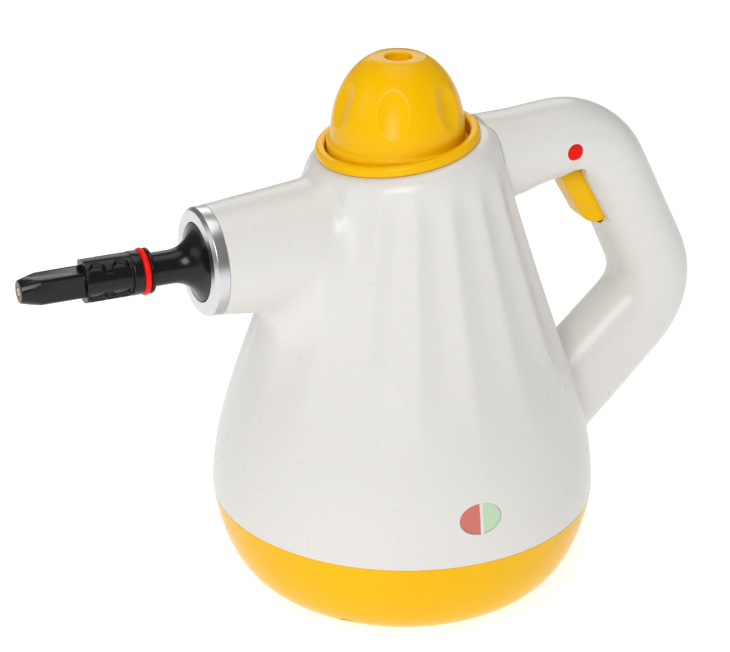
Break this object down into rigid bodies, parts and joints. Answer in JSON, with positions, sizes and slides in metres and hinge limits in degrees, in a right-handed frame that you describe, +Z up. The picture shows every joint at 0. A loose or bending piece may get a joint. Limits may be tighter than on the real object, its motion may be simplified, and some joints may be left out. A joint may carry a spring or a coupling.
{
  "type": "hand-held steam cleaner",
  "caption": "Jug-shaped hand-held steam cleaner with a screw-down safety cap, jet nozzle on a spout, trigger in a closed loop handle.",
  "frame": {"origin": "centre of the foot ring's underside, on the surface that the object stands on", "axes": "+Z up; -X along the spout, so the handle is at +X; -Y is the side with the lamps and the flush face of the lock button"},
  "size_m": [0.2765, 0.15, 0.2131],
  "materials": {
    "white_plastic": "smooth moulded gloss",
    "yellow_plastic": "smooth moulded gloss",
    "black_plastic": "smooth moulded gloss",
    "red_button": "smooth moulded gloss",
    "red_lens": "translucent lens, smooth",
    "green_lens": "translucent lens, smooth",
    "red_rubber": "moulded silicone",
    "black_rubber": "moulded rubber",
    "chrome": "polished",
    "steel": "drawn and turned",
    "brass": "turned",
    "alloy": "die cast",
    "ceramic": "fired, matt",
    "felt": "needled glass felt",
    "board": "printed board",
    "lead": "wire insulation"
  },
  "bodies": {
    "housing": {"body_shell": "white_plastic", "base_bowl": "yellow_plastic", "foot_ring": "black_rubber", "base_screws": "steel", "handle_left": "white_plastic", "handle_right": "white_plastic", "handle_screws": "steel", "trim_ring": "yellow_plastic", "filler_well": "yellow_plastic", "filler_neck": "brass", "boiler_upper": "alloy", "boiler_lower": "alloy", "boiler_gasket": "red_rubber", "boiler_bolts": "steel", "boiler_standoffs": "ceramic", "standoff_screws": "steel", "insulation_jacket": "felt", "heating_element": "steel", "heater_clamp": "steel", "heater_clamp_screws": "steel", "thermostat": "ceramic", "thermal_fuse": "ceramic", "valve_body": "brass", "valve_gland": "brass", "inlet_pipe": "steel", "steam_pipe": "steel", "pipe_nuts": "brass", "nozzle_funnel": "black_plastic", "chrome_ring": "chrome", "bayonet_connector": "black_plastic", "nozzle_oring": "red_rubber", "nozzle_tip": "black_plastic", "orifice_insert": "brass", "steam_tube": "steel", "trigger_pin": "steel", "trigger_spring": "steel", "lock_detent": "steel", "lamp_carrier": "white_plastic", "lamp_lens_red": "red_lens", "lamp_lens_green": "green_lens", "lamp_board": "board", "lamp_leds": "ceramic", "terminal_block": "ceramic", "cord_gland": "black_rubber", "inner_wiring": "lead"},
    "relief_valve": {"relief_poppet": "steel"},
    "cap_gasket_ring": {"cap_gasket": "black_rubber"},
    "cap_seal": {"plug_oring": "red_rubber"},
    "cap_plug": {"cap_plug": "black_plastic", "relief_seat": "brass", "relief_spring": "steel"},
    "cap": {"cap_dome": "yellow_plastic", "cap_retainer": "steel", "cap_spring": "steel"},
    "trigger": {"trigger": "yellow_plastic"},
    "valve_link": {"link_rod": "steel", "link_nut": "brass", "valve_plunger": "red_rubber", "valve_spring": "steel"},
    "lock": {"lock_button": "red_button"}
  },
  "joints": [
    {"name": "cap_lift_off", "type": "slide", "parent": "housing", "child": "cap_gasket_ring", "axis": [0, 0, 1], "range_m": [0, 0.045]},
    {"name": "cap_rise", "type": "slide", "parent": "cap_gasket_ring", "child": "cap_seal", "axis": [0, 0, 1], "range_m": [0, 0.0061]},
    {"name": "cap_turn", "type": "hinge", "parent": "cap_seal", "child": "cap_plug", "pos_m": [-0.0036, 0, 0.18], "axis": [0, 0, 1], "range_deg": [0, 720]},
    {"name": "cap_press", "type": "slide", "parent": "cap_plug", "child": "cap", "axis": [0, 0, -1], "range_m": [0, 0.003], "stiffness_N_per_m": 600, "springref_m": -0.005, "deforming": ["cap_spring"]},
    {"name": "relief_valve_lift", "type": "slide", "parent": "cap_plug", "child": "relief_valve", "axis": [0, 0, 1], "range_m": [0, 0.0015], "stiffness_N_per_m": 800, "springref_m": -0.002, "deforming": ["relief_spring"]},
    {"name": "trigger_pull", "type": "hinge", "parent": "housing", "child": "trigger", "pos_m": [0.073, 0, 0.172], "axis": [0, -1, 0], "range_deg": [0, 12], "stiffness_Nm_per_rad": 0.6, "springref_deg": -8.59},
    {"name": "valve_pull", "type": "slide", "parent": "housing", "child": "valve_link", "axis": [1, 0, 0], "range_m": [0, 0.0024], "deforming": ["valve_spring"]},
    {"name": "lock_slide", "type": "slide", "parent": "housing", "child": "lock", "axis": [0, -1, 0], "range_m": [0, 0.0035]}
  ],
  "couplings": [
    {"joint": "cap_rise", "follows": "cap_turn", "m_per_rad": 0.00047746},
    {"joint": "valve_pull", "follows": "trigger_pull", "m_per_rad": 0.011}
  ]
}
